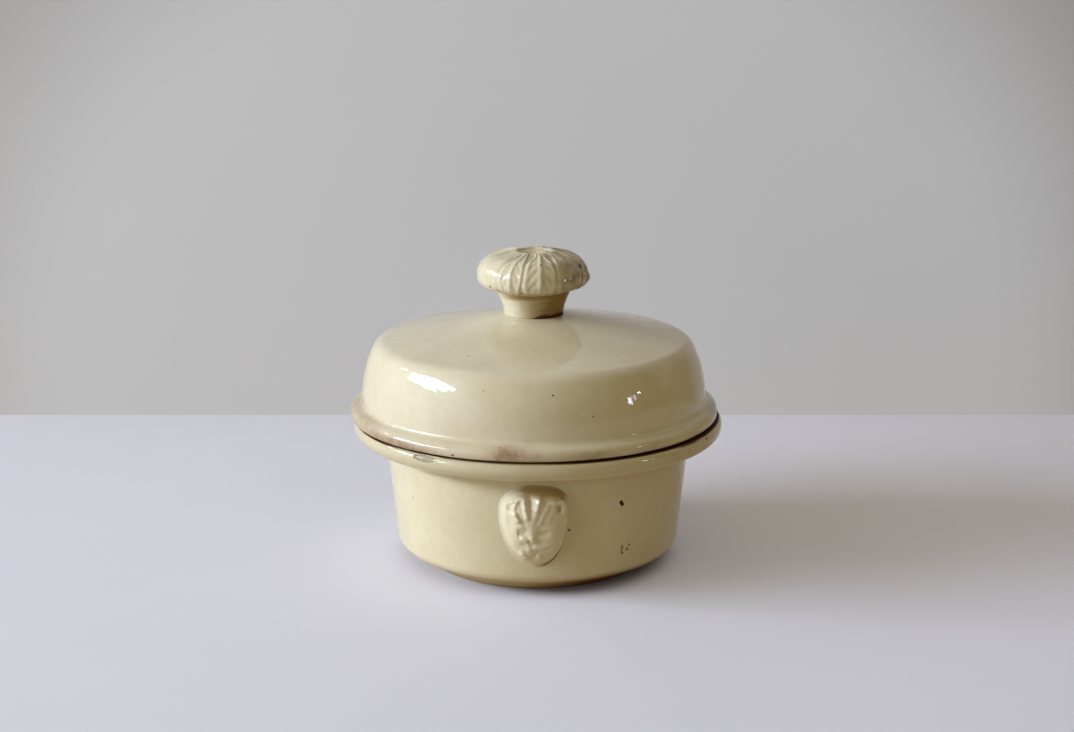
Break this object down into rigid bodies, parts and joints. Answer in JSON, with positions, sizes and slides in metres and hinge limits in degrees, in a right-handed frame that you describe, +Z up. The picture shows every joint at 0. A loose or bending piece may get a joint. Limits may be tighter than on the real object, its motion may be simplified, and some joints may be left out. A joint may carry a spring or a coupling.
{
  "type": "lidded pot",
  "caption": "Small round glazed earthenware oven pot with rolled rim, lion mask sprigs, and a domed flanged lid with a leaf-moulded mushroom knob.",
  "frame": {"origin": "centre of the flat foot, on the plane that the pot stands on", "axes": "+Z up along the pot's axis and along the lid's lift, -Y out through the front lion mask, +X to the viewer's right of it"},
  "size_m": [0.1635, 0.1622, 0.1374],
  "materials": {
    "pot_glaze": "glossy cream lead glaze over buff earthenware",
    "lid_glaze": "glossy cream lead glaze, stained along the flange",
    "mask_glaze": "glossy cream glaze, pooled amber in the hollows",
    "knob_glaze": "glossy cream glaze, pooled amber in the grooves"
  },
  "bodies": {
    "pot": {"pot_body": "pot_glaze", "front_mask": "mask_glaze", "back_mask": "mask_glaze"},
    "lid": {"lid": "lid_glaze", "knob_stem": "knob_glaze", "knob_cap": "knob_glaze"}
  },
  "joints": [
    {"name": "lid_lift", "type": "slide", "parent": "pot", "child": "lid", "axis": [0, 0, 1], "range_m": [0, 0.1]}
  ]
}
